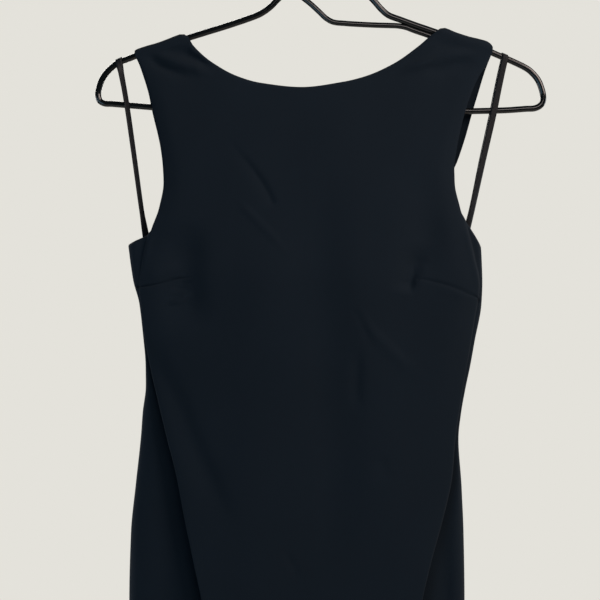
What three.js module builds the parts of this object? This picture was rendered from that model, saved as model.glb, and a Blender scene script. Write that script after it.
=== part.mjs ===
// A sleeveless black crepe mermaid maxi dress hanging on a coated wire hanger, in millimetres.
// +Z is up, +X is to the right of somebody who faces the dress, and its front faces -Y.
// The origin is the inside top of the hanger's hook, where a rail or a nail carries it.
import * as THREE from 'three';

// Driving dimensions
const wall = 1.6; // cloth with its turned edges
const seamGap = 0.3; // between two panels at a seam
const hemZ = -1630; // 1.45 m below the shoulders
const shoulderRadius = 4.3; // middle of the cloth round the hanger's arm
const seatLength = 32; // height over which a strap closes in on the arm
const lastStation = 16; // stations run from the left side seam, 0, to the right one
const middleStation = 8;
const foldStation = 4; // armhole edge and, below it, the edge of the side fold
const crownStation = 5;
const lowestLevel = -367; // left foot of the armhole edge
const levelRise = 17; // the right foot lies higher
const underarms = { left: -381, right: -385 }; // tops of the side seams
const underarmBend = 1.6; // how hollow the short edge from armhole to side seam is
const settlePasses = 8; // rounds in which a point on an edge settles
const searchPasses = 24;

const wireRadius = 2.7; // coated wire of the hanger's loops, bar and hook
const armRadius = 2.9; // a little thicker coat on the two arms
const braceRadius = 2.4; // thinner wire that braces the hanger's neck
const hookRadius = 20; // inside the hook
const neckX = 4; // the hook's stem stands a little right of the hook's middle
const collarTop = -76;
const collarHeight = 12;
const collarRadius = 6.5;
const ribbonWidth = 6.5;
const ribbonThickness = 1;
const clearance = 0.3; // between pieces that touch

const crepe = { color: 0x13191f, roughness: 0.85, metalness: 0 };
const coatedWire = { color: 0x0b0b0c, roughness: 0.25, metalness: 0.1 };
const ribbonSatin = { color: 0x17181a, roughness: 0.5, metalness: 0 };

// Centre line of each hanger arm where it carries a strap.
const arms = {
  left: { x: -138, z: -174.3, slope: 0.34 },
  right: { x: 118, z: -168.8, slope: -0.353 },
};

// Side seams, from just above the underarm to the hem.
const sides = [
  { z: -340, left: -197, right: 156 },
  { z: -381, left: -193, right: 158.2 },
  { z: -415, left: -187.7, right: 158.9 },
  { z: -439, left: -181, right: 158 },
  { z: -475, left: -176.9, right: 151.3 },
  { z: -500, left: -175.3, right: 146.7 },
  { z: -520, left: -175.4, right: 142.3 },
  { z: -547, left: -178.6, right: 137.3 },
  { z: -571, left: -180.4, right: 134.9 },
  { z: -620, left: -185.7, right: 138.7 },
  { z: -667, left: -190.4, right: 140.9 },
  { z: -735, left: -192.1, right: 141.9 },
  { z: -900, left: -187, right: 137 },
  { z: -1060, left: -173, right: 127 },
  { z: -1160, left: -168, right: 123 },
  { z: -1270, left: -184, right: 138 },
  { z: -1400, left: -226, right: 180 },
  { z: -1520, left: -270, right: 228 },
  { z: hemZ, left: -302, right: 264 },
];

// Front: armhole edges down to the underarm, then the edge of each side fold, and how far
// the cloth steps back outside that edge.
const frontFolds = [
  { z: -187, left: -188.6, right: 170, leftDrop: 0, rightDrop: 0 },
  { z: -200, left: -182.3, right: 164.6, leftDrop: 0, rightDrop: 0 },
  { z: -213, left: -177.3, right: 155.8, leftDrop: 0, rightDrop: 0 },
  { z: -236, left: -170, right: 146, leftDrop: 0, rightDrop: 0 },
  { z: -262, left: -161.8, right: 138.3, leftDrop: 0, rightDrop: 0 },
  { z: -289, left: -156.5, right: 132.8, leftDrop: 0, rightDrop: 0 },
  { z: -303, left: -155.6, right: 131, leftDrop: 0, rightDrop: 0 },
  { z: -319, left: -157.2, right: 131.2, leftDrop: 0, rightDrop: 1.5 },
  { z: -343, left: -161, right: 136, leftDrop: 3.5, rightDrop: 4 },
  { z: -367, left: -169, right: 142.2, leftDrop: 6, rightDrop: 4.5 },
  { z: -395, left: -176, right: 149, leftDrop: 5, rightDrop: 4 },
  { z: -420, left: -179.6, right: 153.8, leftDrop: 2, rightDrop: 2 },
  { z: -475, left: -172, right: 146, leftDrop: 1.5, rightDrop: 1.5 },
  { z: -520, left: -166, right: 137.5, leftDrop: 3, rightDrop: 1.5 },
  { z: -571, left: -152, right: 130, leftDrop: 8, rightDrop: 1.5 },
  { z: -620, left: -141, right: 126, leftDrop: 12, rightDrop: 5 },
  { z: -667, left: -131.5, right: 112, leftDrop: 15, rightDrop: 11 },
  { z: -735, left: -119, right: 95, leftDrop: 18, rightDrop: 17 },
  { z: -900, left: -98, right: 72, leftDrop: 19, rightDrop: 19 },
  { z: -1160, left: -90, right: 62, leftDrop: 14, rightDrop: 15 },
  { z: -1400, left: -112, right: 80, leftDrop: 28, rightDrop: 30 },
  { z: hemZ, left: -148, right: 114, leftDrop: 50, rightDrop: 54 },
];

// Back: the same, with straps a little wider than the front's.
const backFolds = [
  { z: -187, left: -187.6, right: 170.5, leftDrop: 0, rightDrop: 0 },
  { z: -205, left: -181, right: 163.7, leftDrop: 0, rightDrop: 0 },
  { z: -228, left: -174, right: 156.8, leftDrop: 0, rightDrop: 0 },
  { z: -246, left: -170.3, right: 151.9, leftDrop: 0, rightDrop: 0 },
  { z: -271, left: -165, right: 145, leftDrop: 0, rightDrop: 0 },
  { z: -294, left: -161.7, right: 137.2, leftDrop: 0, rightDrop: 0 },
  { z: -312, left: -159.3, right: 129.5, leftDrop: 0, rightDrop: 0 },
  { z: -329, left: -157.5, right: 127, leftDrop: 0, rightDrop: 0 },
  { z: -347, left: -161, right: 132, leftDrop: 1, rightDrop: 1 },
  { z: -367, left: -171, right: 141, leftDrop: 1.5, rightDrop: 1.5 },
  { z: -440, left: -172, right: 148, leftDrop: 2, rightDrop: 2 },
  { z: -571, left: -166, right: 120, leftDrop: 2, rightDrop: 2 },
  { z: -735, left: -136, right: 92, leftDrop: 9, rightDrop: 8 },
  { z: -900, left: -112, right: 70, leftDrop: 13, rightDrop: 11 },
  { z: -1160, left: -96, right: 58, leftDrop: 10, rightDrop: 10 },
  { z: -1400, left: -118, right: 78, leftDrop: 26, rightDrop: 24 },
  { z: hemZ, left: -154, right: 116, leftDrop: 46, rightDrop: 42 },
];

// How far each panel stands out from the hanger's plane, at its folds and at its middle,
// how deep its two middle flutes are, and how wide a fold's outer and inner flanks are.
const frontDepths = [
  { z: -195, fold: 5, middle: 6, flute: 0, lip: 4, crown: 16 },
  { z: -223, fold: 6.5, middle: 10, flute: 0, lip: 4, crown: 16 },
  { z: -260, fold: 8, middle: 14, flute: 0, lip: 4, crown: 16 },
  { z: -320, fold: 11, middle: 20, flute: 0, lip: 4, crown: 16 },
  { z: -367, fold: 15, middle: 24, flute: 0, lip: 4, crown: 16 },
  { z: -420, fold: 17, middle: 29, flute: 0, lip: 4, crown: 16 },
  { z: -535, fold: 17, middle: 28, flute: 0, lip: 4, crown: 16 },
  { z: -640, fold: 24, middle: 31, flute: 0, lip: 4, crown: 16 },
  { z: -735, fold: 32, middle: 35, flute: 0, lip: 4, crown: 16 },
  { z: -900, fold: 38, middle: 38, flute: 0, lip: 7, crown: 18 },
  { z: -1160, fold: 42, middle: 41, flute: 5, lip: 14, crown: 20 },
  { z: -1400, fold: 68, middle: 64, flute: 26, lip: 30, crown: 24 },
  { z: hemZ, fold: 98, middle: 92, flute: 52, lip: 50, crown: 28 },
];

const backDepths = [
  { z: -195, fold: 5, middle: 5.5, flute: 0, lip: 5, crown: 16 },
  { z: -235, fold: 7, middle: 8, flute: 0, lip: 5, crown: 16 },
  { z: -320, fold: 9, middle: 13, flute: 0, lip: 5, crown: 16 },
  { z: -385, fold: 10, middle: 16, flute: 0, lip: 5, crown: 16 },
  { z: -535, fold: 13, middle: 18, flute: 0, lip: 5, crown: 16 },
  { z: -735, fold: 22, middle: 26, flute: 0, lip: 6, crown: 16 },
  { z: -900, fold: 29, middle: 32, flute: 0, lip: 9, crown: 18 },
  { z: -1160, fold: 33, middle: 34, flute: 4, lip: 16, crown: 20 },
  { z: -1400, fold: 56, middle: 54, flute: 24, lip: 32, crown: 24 },
  { z: hemZ, fold: 84, middle: 80, flute: 46, lip: 52, crown: 28 },
];

// Necklines from the left neck point to the right one.
const frontNeck = [
  { x: -138, z: -174.3 },
  { x: -128, z: -182 },
  { x: -107.5, z: -199.9 },
  { x: -85, z: -212.4 },
  { x: -62, z: -219.3 },
  { x: -20, z: -223.8 },
  { x: 20, z: -218.6 },
  { x: 43, z: -212.8 },
  { x: 70, z: -200.6 },
  { x: 96, z: -182.3 },
  { x: 112, z: -170.3 },
  { x: 118, z: -168.8 },
];

const backNeck = [
  { x: -138, z: -174.3 },
  { x: -127, z: -205 },
  { x: -113, z: -260 },
  { x: -88, z: -312 },
  { x: -50, z: -343 },
  { x: -10, z: -352 },
  { x: 30, z: -343 },
  { x: 68, z: -311 },
  { x: 93, z: -258 },
  { x: 107, z: -203 },
  { x: 118, z: -168.8 },
];

const front = { facing: -1, folds: frontFolds, depths: frontDepths, neck: frontNeck };
const back = { facing: 1, folds: backFolds, depths: backDepths, neck: backNeck };

// Smooth curve through the rows of a table, which never swings past a row.
function along(rows, key, name, at) {
  const last = rows.length - 1;
  const way = Math.sign(rows[last][key] - rows[0][key]);
  if ((at - rows[0][key]) * way <= 0) return rows[0][name];
  if ((at - rows[last][key]) * way >= 0) return rows[last][name];
  const k = rows.findIndex((row, i) => i < last && (at - rows[i + 1][key]) * way <= 0);
  const slope = (i) => (rows[i + 1][name] - rows[i][name]) / (rows[i + 1][key] - rows[i][key]);
  const tangent = (i) => {
    const before = slope(Math.max(i - 1, 0));
    const after = slope(Math.min(i, last - 1));
    return before * after <= 0 ? 0 : (2 * before * after) / (before + after);
  };
  const span = rows[k + 1][key] - rows[k][key];
  const t = (at - rows[k][key]) / span;
  const rise = rows[k + 1][name] - rows[k][name];
  const bend = (1 - t) * tangent(k) - t * tangent(k + 1);
  const twist = (1 - 2 * t) * (rise / span);
  return rows[k][name] + rise * t + span * t * (1 - t) * (bend - twist);
}

const smoothStep = (t) => {
  const clamped = Math.min(Math.max(t, 0), 1);
  return clamped * clamped * (3 - 2 * clamped);
};

// Half of a section, as rows from the side seam to the middle of the panel.
function halfSection(panel, side, z) {
  const seam = along(sides, 'z', side, z);
  const fold = along(panel.folds, 'z', side, z);
  const opposite = along(panel.folds, 'z', side === 'left' ? 'right' : 'left', z);
  const drop = along(panel.folds, 'z', `${side}Drop`, z);
  const foldOut = along(panel.depths, 'z', 'fold', z);
  const middleOut = along(panel.depths, 'z', 'middle', z);
  const centre = (fold + opposite) / 2;
  const inward = side === 'left' ? 1 : -1;
  const strip = Math.abs(fold - seam);
  const lip = Math.min(along(panel.depths, 'z', 'lip', z), strip * 0.25);
  const crown = along(panel.depths, 'z', 'crown', z);
  const valley = foldOut - drop;
  const bulge = valley * 0.9 + drop * 0.3;
  return [
    { station: 0, x: seam, out: 0 },
    { station: 0.7, x: seam + inward * strip * 0.07, out: bulge * 0.6 },
    { station: 2, x: seam + inward * strip * 0.4, out: bulge },
    { station: 3.3, x: fold - inward * lip, out: valley },
    { station: foldStation, x: fold, out: foldOut },
    { station: crownStation, x: fold + inward * crown, out: foldOut + (middleOut - foldOut) * 0.55 },
    { station: middleStation, x: centre, out: middleOut },
  ];
}

// Flutes between the two side folds, deepest half way from each fold to the middle.
function fluteDepth(panel, station, z) {
  const depth = along(panel.depths, 'z', 'flute', z);
  const turns = (station - foldStation) / (middleStation - foldStation);
  const inside = station > foldStation && station < lastStation - foldStation;
  return inside ? (depth * (1 - Math.cos(2 * Math.PI * turns))) / 2 : 0;
}

// Axis height of the hanger's arm at x.
function armAxis(x) {
  const arm = x < (arms.left.x + arms.right.x) / 2 ? arms.left : arms.right;
  return arm.z + arm.slope * (x - arm.x);
}

// Middle of the cloth at a station and height, up to the axis of the hanger's arm. A strap
// closes in on the arm over its last few centimetres.
function clothPoint(panel, station, z) {
  const side = station <= middleStation ? 'left' : 'right';
  const mirrored = side === 'left' ? station : lastStation - station;
  const section = halfSection(panel, side, z);
  const x = along(section, 'station', 'x', mirrored);
  const depth = along(section, 'station', 'out', mirrored) - fluteDepth(panel, station, z);
  const below = (armAxis(x) - z) / seatLength;
  const out = shoulderRadius + (depth - shoulderRadius) * smoothStep(below);
  return new THREE.Vector3(x, panel.facing * out, z);
}

// Where a strap bends back over the arm: 90 degrees is the shoulder seam, on top.
function shoulderPoint(panel, station, degrees) {
  const foot = clothPoint(panel, station, topHeight(panel, station));
  const angle = THREE.MathUtils.degToRad(degrees);
  const y = Math.max(shoulderRadius * Math.cos(angle), seamGap / 2);
  return new THREE.Vector3(foot.x, panel.facing * y, foot.z + shoulderRadius * Math.sin(angle));
}

// Top of a panel's flat part at a station: level with the arm's axis, or the neckline.
function topHeight(panel, station) {
  let top = panel.neck[0].z;
  for (let pass = 0; pass < settlePasses; pass += 1) {
    const { x } = clothPoint(panel, station, top);
    const onNeck = x > panel.neck[0].x && x < panel.neck[panel.neck.length - 1].x;
    top = onNeck ? along(panel.neck, 'x', 'z', x) : armAxis(x);
  }
  return top;
}

// Height of the row that parts the skirt and bodice from the straps and chest. Outside the
// armhole's foot it runs down the short underarm edge to the side seam.
function levelHeight(station) {
  const across = (station - foldStation) / (lastStation - 2 * foldStation);
  const level = lowestLevel + levelRise * Math.min(Math.max(across, 0), 1);
  const fromSeam = Math.min(station, lastStation - station) / foldStation;
  const underarm = station < middleStation ? underarms.left : underarms.right;
  return fromSeam >= 1 ? level : underarm + (level - underarm) * fromSeam ** underarmBend;
}

// Station at which a panel's shoulder seam meets its neckline.
function neckStation(panel, side) {
  const neckPoint = panel.neck[side === 'left' ? 0 : panel.neck.length - 1];
  let low = foldStation;
  let high = middleStation;
  for (let pass = 0; pass < searchPasses; pass += 1) {
    const middle = (low + high) / 2;
    const { x } = clothPoint(panel, side === 'left' ? middle : lastStation - middle, neckPoint.z);
    if (Math.abs(x) > Math.abs(neckPoint.x)) low = middle;
    else high = middle;
  }
  return (low + high) / 2;
}

// Stations of the grid's columns, close together at the side seam and the fold.
const sideStations = [0, 0.7, 1.6, 2.5, 3.3, 3.65];
const strapShares = [0, 0.2, 0.45, 0.72]; // from the fold to the neck point
const chestShares = [0, 0.08, 0.2, 0.36, 0.56, 0.78]; // from the neck point to the middle

function stationsOf(panel) {
  const half = (side) => {
    const neck = neckStation(panel, side);
    const strap = strapShares.map((share) => foldStation + share * (neck - foldStation));
    const chest = chestShares.map((share) => neck + share * (middleStation - neck));
    return [...sideStations, ...strap, ...chest];
  };
  const right = half('right').map((station) => lastStation - station).reverse();
  return [...half('left'), middleStation, ...right];
}

// Rows of the grid, as shares of the way down.
const shoulderRows = [90, 60, 30]; // degrees round the arm
const chestRows = [1, 0.96, 0.91, 0.85, 0.78, 0.7, 0.58, 0.44, 0.3, 0.15]; // 1 is the top
const bodyRows = [0, 0.02, 0.045, 0.075, 0.11, 0.15, 0.19, 0.23, 0.27, 0.31, 0.36, 0.42, 0.5,
  0.58, 0.64, 0.69, 0.74, 0.79, 0.84, 0.89, 0.945, 1]; // 0 is the level row and 1 is the hem

// Direction from the middle of the cloth to its outer face. At a seam it has no part along Y,
// so the edges of the two panels lie face to face.
function outwardAt(grid, j, i) {
  const pointAt = (row, column) => (grid[row] && grid[row][column] ? grid[row][column].point : undefined);
  const here = pointAt(j, i);
  const across = (pointAt(j, i + 1) || here).clone().sub(pointAt(j, i - 1) || here);
  const down = (pointAt(j + 1, i) || here).clone().sub(pointAt(j - 1, i) || here);
  const outward = down.cross(across);
  if (grid[j][i].onSeam) outward.y = 0;
  return outward.normalize();
}

// A closed shell of cloth on a grid of points. Only cells with all four corners are kept.
function clothShell(grid, thickness = wall) {
  const numbered = grid.map((row) => row.map(() => -1));
  const outer = [];
  const inner = [];
  grid.forEach((row, j) => row.forEach((corner, i) => {
    if (!corner) return;
    const shift = outwardAt(grid, j, i).multiplyScalar(thickness / 2);
    numbered[j][i] = outer.length;
    outer.push(corner.point.clone().add(shift));
    inner.push(corner.point.clone().sub(shift));
  }));
  const faces = [];
  const borders = new Map();
  const addQuad = (a, b, c, d) => faces.push(a, b, c, a, c, d);
  const noteBorder = (a, b) => {
    if (!borders.delete(`${b},${a}`)) borders.set(`${a},${b}`, [a, b]);
  };
  for (let j = 0; j + 1 < grid.length; j += 1) {
    for (let i = 0; i + 1 < grid[j].length; i += 1) {
      const ring = [numbered[j][i], numbered[j + 1][i], numbered[j + 1][i + 1], numbered[j][i + 1]];
      if (Math.min(...ring) < 0) continue;
      addQuad(...ring);
      addQuad(...ring.map((corner) => corner + outer.length).reverse());
      ring.forEach((corner, k) => noteBorder(corner, ring[(k + 1) % 4]));
    }
  }
  for (const [a, b] of borders.values()) addQuad(b, a, outer.length + a, outer.length + b);
  const geometry = new THREE.BufferGeometry().setFromPoints([...outer, ...inner]);
  geometry.setIndex(faces);
  return geometry;
}

// Front or back panel in one piece, from the shoulder seams to the hem.
function panelGeometry(panel) {
  const columns = panel.facing < 0 ? stationsOf(panel) : stationsOf(panel).reverse();
  const leftNeck = neckStation(panel, 'left');
  const rightNeck = lastStation - neckStation(panel, 'right');
  const onPanel = (station) => Math.min(station, lastStation - station) >= foldStation;
  const shoulders = shoulderRows.map((degrees) => columns.map((station) => {
    const onStrap = station <= leftNeck || station >= rightNeck;
    if (!onPanel(station) || !onStrap) return undefined;
    return { point: shoulderPoint(panel, station, degrees), onSeam: degrees === 90 };
  }));
  const chest = chestRows.map((share) => columns.map((station) => {
    if (!onPanel(station)) return undefined;
    const level = levelHeight(station);
    const height = level + share * (topHeight(panel, station) - level);
    return { point: clothPoint(panel, station, height), onSeam: false };
  }));
  const body = bodyRows.map((share) => columns.map((station) => {
    const level = levelHeight(station);
    const point = clothPoint(panel, station, level + share * (hemZ - level));
    const onSeam = station === 0 || station === lastStation;
    if (onSeam) point.y = (panel.facing * seamGap) / 2;
    return { point, onSeam };
  }));
  return clothShell([...shoulders, ...chest, ...body]);
}

// A tube of round section along a smooth route in the hanger's plane.
function tube(pairs, radius, steps, sides = 8) {
  const outline = new THREE.Shape();
  outline.moveTo(radius, 0);
  for (let side = 1; side < sides; side += 1) {
    const angle = (2 * Math.PI * side) / sides;
    outline.lineTo(radius * Math.cos(angle), radius * Math.sin(angle));
  }
  outline.closePath();
  const points = pairs.map(([x, z]) => new THREE.Vector3(x, 0, z));
  const route = new THREE.CatmullRomCurve3(points, false, 'centripetal');
  return new THREE.ExtrudeGeometry(outline, { steps, extrudePath: route, bevelEnabled: false });
}

// Hook: a straight stem, then most of a circle that ends in a short tip.
function hookGeometry() {
  const radius = hookRadius + wireRadius;
  const points = [[neckX, collarTop + clearance], [neckX, -66], [neckX + 5, -54]];
  for (let degrees = -48; degrees <= 204; degrees += 18) {
    const angle = THREE.MathUtils.degToRad(degrees);
    points.push([radius * Math.cos(angle), radius * Math.sin(angle) - hookRadius]);
  }
  return tube(points, wireRadius, 32);
}

function collarGeometry() {
  const collar = new THREE.CylinderGeometry(collarRadius, collarRadius, collarHeight, 16);
  collar.rotateX(Math.PI / 2);
  return collar.translate(neckX, 0, collarTop - collarHeight / 2);
}

// Routes of the hanger's wires as [x, z], all in the plane of the hanger.
const neckFoot = collarTop - collarHeight - 2 * clearance;
const strandShift = armRadius + clearance;
const wires = {
  hanger_arm_left: {
    radius: armRadius,
    steps: 20,
    route: [[neckX - strandShift, neckFoot], [neckX - strandShift - 0.5, neckFoot - 4],
      [-31, -122], [-45.3, -135.4], [-49.8, -140.2], [-54, -143.8], [-59.8, -147.8],
      [-65.4, -150.6], [-90.7, -159.5], [-120, -168.6], [-138, -174.3], [-181, -188.9]],
  },
  hanger_arm_right: {
    radius: armRadius,
    steps: 20,
    route: [[neckX + strandShift, neckFoot], [neckX + strandShift + 0.5, neckFoot - 4],
      [36, -119.5], [51.3, -135.2], [60.3, -145.2], [66.5, -150.2], [79, -155], [92, -159.8],
      [106, -164.6], [118, -168.8], [165, -185.4]],
  },
  hanger_brace: {
    radius: braceRadius,
    steps: 14,
    route: [[-27.4, -126.6], [-12, -138.4], [-2.7, -146.9], [4, -153.2], [11, -157], [22.7, -158.4],
      [53, -160.1], [61.8, -160.8]],
  },
  hanger_brace_end: {
    radius: braceRadius,
    steps: 8,
    route: [[62.2, -160.85], [72, -162], [92, -165.9], [106, -170.7], [118, -174.9], [158, -189]],
  },
  hanger_loop_left: {
    radius: wireRadius,
    steps: 26,
    route: [[-181.45, -189.05], [-192, -193.2], [-205, -198.5], [-210.3, -202.6], [-215, -207.2],
      [-220.2, -215], [-222.9, -223], [-223.9, -229.5], [-222.2, -235.6], [-217.5, -238.4],
      [-210, -238.9], [-190, -240.6], [-152, -243.8]],
  },
  hanger_loop_right: {
    radius: wireRadius,
    steps: 26,
    route: [[165.6, -185.6], [175, -189.8], [190, -196.2], [203.8, -203], [209.2, -207],
      [215.9, -215], [219.3, -223], [221, -230], [220.9, -236], [218.4, -240.4], [213, -243.2],
      [203, -243.9], [185, -245.2], [150, -246.2]],
  },
  hanger_bar: {
    radius: wireRadius,
    steps: 6,
    route: [[-151.5, -243.8], [-50, -244.6], [50, -245.4], [149.6, -246.2]],
  },
};

// Hanger ribbons: each is sewn inside the dress, goes up in front of the bar, over a loop's
// wire and down behind again. The first row is level with the wire's axis. front and back are
// the y of the two strands, lean is the ribbon's slope across and turn its twist, in degrees.
const ribbons = {
  left: [
    { z: -197.4, x: -203, front: -3.8, back: 3.8, lean: 23, turn: 0 },
    { z: -207, x: -200.9, front: -4.4, back: 4.4, lean: 11, turn: 34 },
    { z: -223, x: -197.9, front: -5.8, back: 5.8, lean: 9, turn: 46 },
    { z: -247, x: -194, front: -6, back: 6, lean: 8, turn: 46 },
    { z: -295, x: -187.3, front: -3.8, back: 3.8, lean: 8, turn: 46 },
    { z: -343, x: -180.8, front: -2.2, back: 3.8, lean: 8, turn: 44 },
    { z: -375, x: -175.8, front: 0.6, back: 4.4, lean: 8, turn: 20 },
    { z: -400, x: -172.5, front: 5.6, back: 6.9, lean: 8, turn: 0 },
  ],
  right: [
    { z: -193, x: 182.6, front: -3.8, back: 3.8, lean: -23, turn: 0 },
    { z: -207, x: 179.4, front: -3.9, back: 3.9, lean: -14, turn: 0 },
    { z: -223, x: 176, front: -4, back: 4, lean: -12, turn: 2 },
    { z: -247, x: 170.9, front: -4.1, back: 4.1, lean: -12, turn: 6 },
    { z: -295, x: 160, front: -3.6, back: 3.6, lean: -12, turn: 22 },
    { z: -343, x: 149.7, front: -2.8, back: 3.6, lean: -12, turn: 40 },
    { z: -370, x: 144, front: 0.4, back: 4.5, lean: -12, turn: 22 },
    { z: -400, x: 138, front: 5.6, back: 6.9, lean: -12, turn: 0 },
  ],
};
const strandRows = 14;
const archRows = 6;

// A ribbon as a strip of cloth, three points wide, from one sewn end to the other.
function ribbonGeometry(rows) {
  const top = rows[0];
  const foot = rows[rows.length - 1];
  const archRadius = top.back;
  const strip = [];
  const addRow = (x, y, z, lean, turn) => {
    const slope = THREE.MathUtils.degToRad(lean);
    const twist = THREE.MathUtils.degToRad(turn);
    const width = new THREE.Vector3(Math.cos(slope) * Math.cos(twist), Math.sin(twist),
      Math.sin(slope) * Math.cos(twist)).multiplyScalar(ribbonWidth / 2);
    const centre = new THREE.Vector3(x, y, z);
    const across = [centre.clone().sub(width), centre, centre.clone().add(width)];
    strip.push(across.map((point) => ({ point, onSeam: false })));
  };
  const addStrand = (name, share) => {
    const z = top.z + (foot.z - top.z) * share;
    const [x, y, lean, turn] = ['x', name, 'lean', 'turn'].map((key) => along(rows, 'z', key, z));
    addRow(x, y, z, lean, turn);
  };
  for (let step = strandRows; step > 0; step -= 1) addStrand('front', step / strandRows);
  for (let step = 0; step <= archRows; step += 1) {
    const angle = (Math.PI * step) / archRows;
    addRow(top.x, -archRadius * Math.cos(angle), top.z + archRadius * Math.sin(angle), top.lean, 0);
  }
  for (let step = 1; step <= strandRows; step += 1) addStrand('back', step / strandRows);
  return clothShell(strip.reverse(), ribbonThickness);
}

const dress = new THREE.Group();

function addPiece(name, geometry, finish) {
  const mesh = new THREE.Mesh(geometry, new THREE.MeshStandardMaterial(finish));
  mesh.name = name;
  dress.add(mesh);
}

addPiece('front_panel', panelGeometry(front), crepe);
addPiece('back_panel', panelGeometry(back), crepe);
addPiece('hanger_hook', hookGeometry(), coatedWire);
addPiece('hanger_collar', collarGeometry(), coatedWire);
for (const [name, wire] of Object.entries(wires)) {
  addPiece(name, tube(wire.route, wire.radius, wire.steps), coatedWire);
}

for (const [side, rows] of Object.entries(ribbons)) {
  addPiece(`ribbon_${side}`, ribbonGeometry(rows), ribbonSatin);
}

export default dress;
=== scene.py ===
# A sleeveless black crepe mermaid maxi dress on a coated wire hanger.
# The frame gives every place: metres, +Z up, the front faces -Y, the origin is inside the hook.
import math

import bmesh
import bpy
import numpy as np
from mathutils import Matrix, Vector


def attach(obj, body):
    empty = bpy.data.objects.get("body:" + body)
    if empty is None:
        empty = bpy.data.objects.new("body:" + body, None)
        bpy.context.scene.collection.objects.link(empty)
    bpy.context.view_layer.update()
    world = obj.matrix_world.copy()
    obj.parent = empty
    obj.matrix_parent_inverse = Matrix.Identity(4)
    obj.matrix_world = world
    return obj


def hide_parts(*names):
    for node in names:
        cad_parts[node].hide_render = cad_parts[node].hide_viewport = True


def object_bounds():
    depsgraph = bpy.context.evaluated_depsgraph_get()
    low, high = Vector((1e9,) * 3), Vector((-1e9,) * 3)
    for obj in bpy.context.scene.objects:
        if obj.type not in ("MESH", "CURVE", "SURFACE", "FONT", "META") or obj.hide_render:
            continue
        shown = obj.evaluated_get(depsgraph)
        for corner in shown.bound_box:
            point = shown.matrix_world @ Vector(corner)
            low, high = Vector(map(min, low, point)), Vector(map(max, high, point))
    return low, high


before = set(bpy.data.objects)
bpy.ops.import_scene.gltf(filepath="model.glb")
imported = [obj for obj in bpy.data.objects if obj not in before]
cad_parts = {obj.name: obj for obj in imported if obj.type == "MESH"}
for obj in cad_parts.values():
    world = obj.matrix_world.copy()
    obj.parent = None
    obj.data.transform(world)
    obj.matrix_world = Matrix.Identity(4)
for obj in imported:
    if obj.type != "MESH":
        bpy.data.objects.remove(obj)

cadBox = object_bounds()
mm = 0.001


# sRGB hex, such as "#101a20", to the linear colour that the nodes and lights want.
def linearColour(hexColour):
    parts = [int(hexColour[i:i + 2], 16) / 255 for i in (1, 3, 5)]
    return [c / 12.92 if c <= 0.04045 else ((c + 0.055) / 1.055) ** 2.4 for c in parts] + [1.0]


def addNode(material, kind, values=None, links=None, **settings):
    node = material.node_tree.nodes.new(kind)
    for name, value in settings.items():
        setattr(node, name, value)
    for socket, value in (values or {}).items():
        node.inputs[socket].default_value = value
    for socket, source in (links or {}).items():
        material.node_tree.links.new(source, node.inputs[socket])
    return node


def newMaterial(name):
    material = bpy.data.materials.new(name)
    material.use_nodes = True
    shader = material.node_tree.nodes["Principled BSDF"]
    return material, shader


def putInScene(thing, name):
    made = bpy.data.objects.new(name, thing)
    bpy.context.scene.collection.objects.link(made)
    return made


# The camera looks straight at the front, from the hanger's arms down to the seat.
shot = {
    "aimX": -22,         # mm, middle of the view
    "aimZ": -435,
    "distance": 1250,    # in front of the hanger's plane
    "fieldWidth": 600,   # how much of that plane the view takes in
    "clipEnd": 30,       # m
}
camera = putInScene(bpy.data.cameras.new("camera"), "camera")
camera.data.angle = 2 * math.atan(shot["fieldWidth"] / 2 / shot["distance"])
camera.location = Vector((shot["aimX"], -shot["distance"], shot["aimZ"])) * mm
camera.rotation_euler = (math.pi / 2, 0, 0)
camera.data.clip_end = shot["clipEnd"]
bpy.context.scene.camera = camera
bpy.context.scene.view_settings.view_transform = "Standard"

studio = {
    "wall": "#e4e2db",       # off-white all round, as the camera sees it
    "room": "#b0c6d2",       # the softer light that it throws back on the dress
    "roomStrength": 0.11,
    "floor": "#dcdad4",
    "floorRadius": 3.4,      # m
    "sweep": (1.1, 2.6),     # m, between which the floor turns into the wall as the camera sees it
    "floorDrop": 70,         # mm from the hem down to the floor
    "lamps": [               # name, place in m, what it points at in m, side in m, watts, colour
        ("key", (1.4, -0.95, 0.75), (0, 0, -0.35), 1.2, 53, "#ffeae0"),
        ("fill", (-1.5, -1.7, -0.9), (0, 0, -0.85), 1.4, 14, "#aadfff"),
        ("front", (0.3, -1.4, 0.35), (0, 0, -0.3), 0.6, 6, "#fff2ee"),
        ("left rim", (-1.9, 0.5, -0.6), (-0.15, 0, -0.55), 0.9, 14, "#f4f8ff"),
        ("right rim", (1.9, 0.7, -0.4), (0.15, 0, -0.5), 0.9, 10, "#f4f8ff"),
        ("back", (-0.9, 2.2, 0.7), (0, 0, -0.7), 1.4, 40, "#fffaf4"),
    ],
}
world = bpy.data.worlds.new("studio")
world.use_nodes = True
wall = world.node_tree.nodes["Background"]
wall.inputs["Color"].default_value = linearColour(studio["wall"])
room = addNode(world, "ShaderNodeBackground",
               {"Color": linearColour(studio["room"]), "Strength": studio["roomStrength"]})
seen = addNode(world, "ShaderNodeLightPath")
either = addNode(world, "ShaderNodeMixShader", None,
                 {0: seen.outputs["Is Camera Ray"], 1: room.outputs[0], 2: wall.outputs[0]})
world.node_tree.links.new(either.outputs[0], world.node_tree.nodes["World Output"].inputs["Surface"])
bpy.context.scene.world = world

for name, place, aim, side, watts, colour in studio["lamps"]:
    lamp = putInScene(bpy.data.lights.new(name, "AREA"), name)
    lamp.data.size = side
    lamp.data.energy = watts
    lamp.data.color = linearColour(colour)[:3]
    lamp.location = place
    lamp.rotation_euler = (Vector(aim) - Vector(place)).to_track_quat("-Z", "Y").to_euler()


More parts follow.
